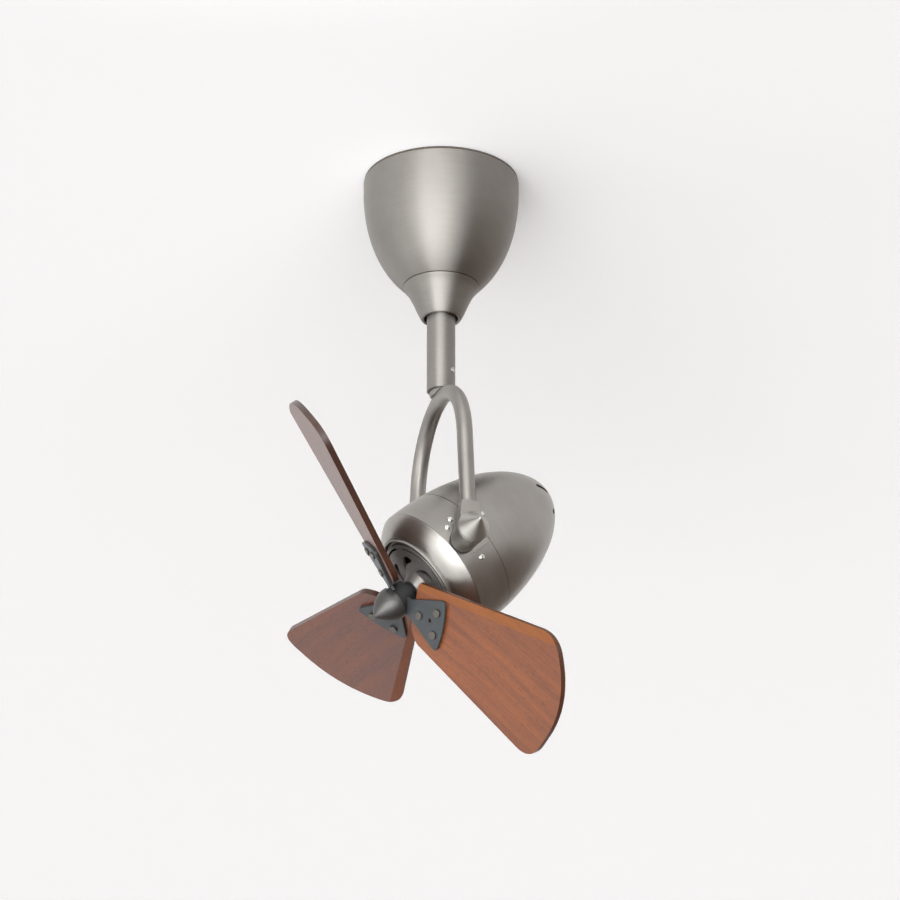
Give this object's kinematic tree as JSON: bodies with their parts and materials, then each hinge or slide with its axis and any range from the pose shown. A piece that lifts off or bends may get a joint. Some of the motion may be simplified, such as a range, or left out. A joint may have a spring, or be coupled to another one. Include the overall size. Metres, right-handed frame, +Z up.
{
  "type": "directional ceiling fan",
  "caption": "Small directional ceiling fan: egg-shaped motor head with pitched wooden blades, tilting in a bent-tube yoke on a short downrod under a bell canopy.",
  "frame": {"origin": "centre of the face that meets the ceiling, on the downrod's axis", "axes": "+Z up out of the ceiling face, +Y along the head's pivot axis away from the pictured side, -X the way the head points in the picture"},
  "size_m": [0.2597, 0.3312, 0.5601],
  "materials": {
    "nickel": "satin nickel plate",
    "zinc": "bright zinc plate",
    "steel": "plain machined",
    "gunmetal": "dark satin metallic",
    "diecast": "as cast",
    "laminate": "stacked steel sheet, varnished",
    "copper": "enamelled copper wire",
    "rubber": "soft matt",
    "black_plastic": "moulded, matt",
    "slate": "slate grey satin paint",
    "mahogany": "red-brown satin varnish, long straight grain"
  },
  "bodies": {
    "mount": {"ceiling_bracket": "zinc", "canopy_gasket": "rubber", "canopy": "nickel", "canopy_collar": "nickel", "canopy_screw_front": "zinc", "canopy_screw_back": "zinc", "hanger_ball": "black_plastic", "hanger_pin": "steel", "downrod": "nickel", "rod_set_screw": "zinc"},
    "yoke": {"yoke_stem": "nickel", "yoke_tube": "nickel", "near_yoke_socket": "nickel", "near_cone_cap": "nickel", "near_pivot_bolt": "steel", "near_pivot_washer": "steel", "far_yoke_socket": "nickel", "far_cone_cap": "nickel", "far_pivot_bolt": "steel", "far_pivot_washer": "steel"},
    "head": {"housing_front": "nickel", "housing_rear": "nickel", "front_bezel": "nickel", "front_cover": "gunmetal", "stator_core": "laminate", "winding_front": "copper", "winding_rear": "copper", "motor_rear_cover": "diecast", "front_bearing": "steel", "rear_bearing": "steel", "run_capacitor": "black_plastic", "near_pivot_plate": "steel", "far_pivot_plate": "steel", "near_upper_housing_screw": "zinc", "near_inner_housing_screw": "zinc", "near_lower_housing_screw": "zinc", "near_rear_housing_screw": "zinc", "far_upper_housing_screw": "zinc", "far_inner_housing_screw": "zinc", "far_lower_housing_screw": "zinc", "far_rear_housing_screw": "zinc"},
    "rotor": {"motor_shaft": "steel", "rotor_core": "laminate", "hub": "slate", "spinner": "slate", "blade_iron_1": "slate", "blade_1": "mahogany", "blade_iron_2": "slate", "blade_2": "mahogany", "blade_iron_3": "slate", "blade_3": "mahogany", "blade_1_screw_1": "slate", "blade_1_screw_2": "slate", "blade_1_screw_3": "slate", "blade_2_screw_1": "slate", "blade_2_screw_2": "slate", "blade_2_screw_3": "slate", "blade_3_screw_1": "slate", "blade_3_screw_2": "slate", "blade_3_screw_3": "slate"}
  },
  "joints": [
    {"name": "rod_swivel", "type": "hinge", "parent": "mount", "child": "yoke", "pos_m": [0, 0, -0.19], "axis": [0, 0, 1], "range_deg": [-170, 170]},
    {"name": "head_tilt", "type": "hinge", "parent": "yoke", "child": "head", "pos_m": [0, 0, -0.378], "axis": [0, 1, 0], "range_deg": [-138.5, 41.5]},
    {"name": "rotor_spin", "type": "hinge", "parent": "head", "child": "rotor", "pos_m": [0, 0, -0.378], "axis": [-0.749, 0, -0.6626], "continuous": true}
  ]
}
